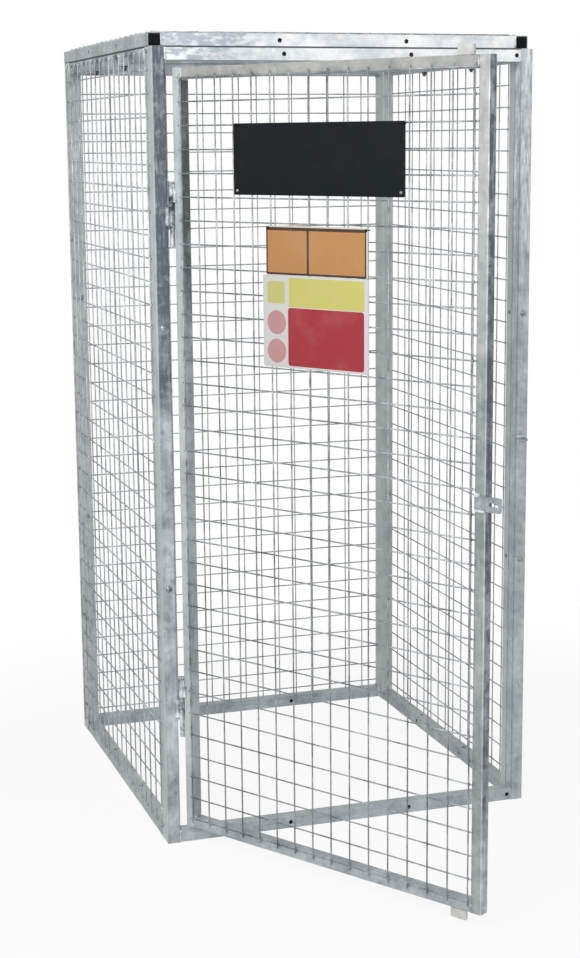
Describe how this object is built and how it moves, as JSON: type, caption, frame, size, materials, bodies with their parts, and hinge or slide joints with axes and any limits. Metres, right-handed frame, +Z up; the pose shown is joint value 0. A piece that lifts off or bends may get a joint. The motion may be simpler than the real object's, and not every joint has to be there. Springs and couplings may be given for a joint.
{
  "type": "gas cylinder cage",
  "caption": "Tall welded-mesh cage of square tube with a framed mesh roof and one hinged, padlockable mesh door, for keeping upright gas cylinders.",
  "frame": {"origin": "middle of the underside of the door sill", "axes": "+Z up, the door side faces -Y, +X to the right seen from the front"},
  "size_m": [0.902, 1.6576, 1.82],
  "materials": {
    "galvanised_tube": "hot-dip galvanised, mottled spangle, satin",
    "galvanised_wire": "galvanised round wire, satin",
    "galvanised_fittings": "galvanised weld-on fittings, satin",
    "black_plastic": "moulded black plug, matt",
    "black_sign": "flat plastic plate, satin",
    "orange_sign": "flat plastic plate, satin",
    "white_sign": "flat plastic plate, satin"
  },
  "bodies": {
    "cage": {"left_post": "galvanised_tube", "right_post": "galvanised_tube", "sill": "galvanised_tube", "head": "galvanised_tube", "left_front_stile": "galvanised_tube", "left_back_stile": "galvanised_tube", "left_bottom_rail": "galvanised_tube", "left_top_rail": "galvanised_tube", "right_front_stile": "galvanised_tube", "right_back_stile": "galvanised_tube", "right_bottom_rail": "galvanised_tube", "right_top_rail": "galvanised_tube", "back_left_stile": "galvanised_tube", "back_right_stile": "galvanised_tube", "back_bottom_rail": "galvanised_tube", "back_top_rail": "galvanised_tube", "roof_left_tube": "galvanised_tube", "roof_right_tube": "galvanised_tube", "roof_front_tube": "galvanised_tube", "roof_back_tube": "galvanised_tube", "roof_tube_plugs": "black_plastic", "left_mesh_lower": "galvanised_wire", "left_mesh_upper": "galvanised_wire", "right_mesh_lower": "galvanised_wire", "right_mesh_upper": "galvanised_wire", "back_mesh_lower": "galvanised_wire", "back_mesh_upper": "galvanised_wire", "roof_mesh": "galvanised_wire", "staple": "galvanised_fittings", "lower_pintle": "galvanised_fittings", "upper_pintle": "galvanised_fittings"},
    "door": {"door_hinge_stile": "galvanised_tube", "door_free_stile": "galvanised_tube", "door_bottom_rail": "galvanised_tube", "door_top_rail": "galvanised_tube", "door_mesh_lower": "galvanised_wire", "door_mesh_upper": "galvanised_wire", "door_stop_tabs": "galvanised_fittings", "hasp": "galvanised_fittings", "lower_door_knuckle": "galvanised_fittings", "upper_door_knuckle": "galvanised_fittings", "upper_sign": "black_sign", "middle_sign": "orange_sign", "lower_sign": "white_sign"}
  },
  "joints": [
    {"name": "door_hinge", "type": "hinge", "parent": "cage", "child": "door", "pos_m": [-0.407, -0.02, 0.9], "axis": [0, 0, 1], "range_deg": [-62.3, 57.7]}
  ]
}
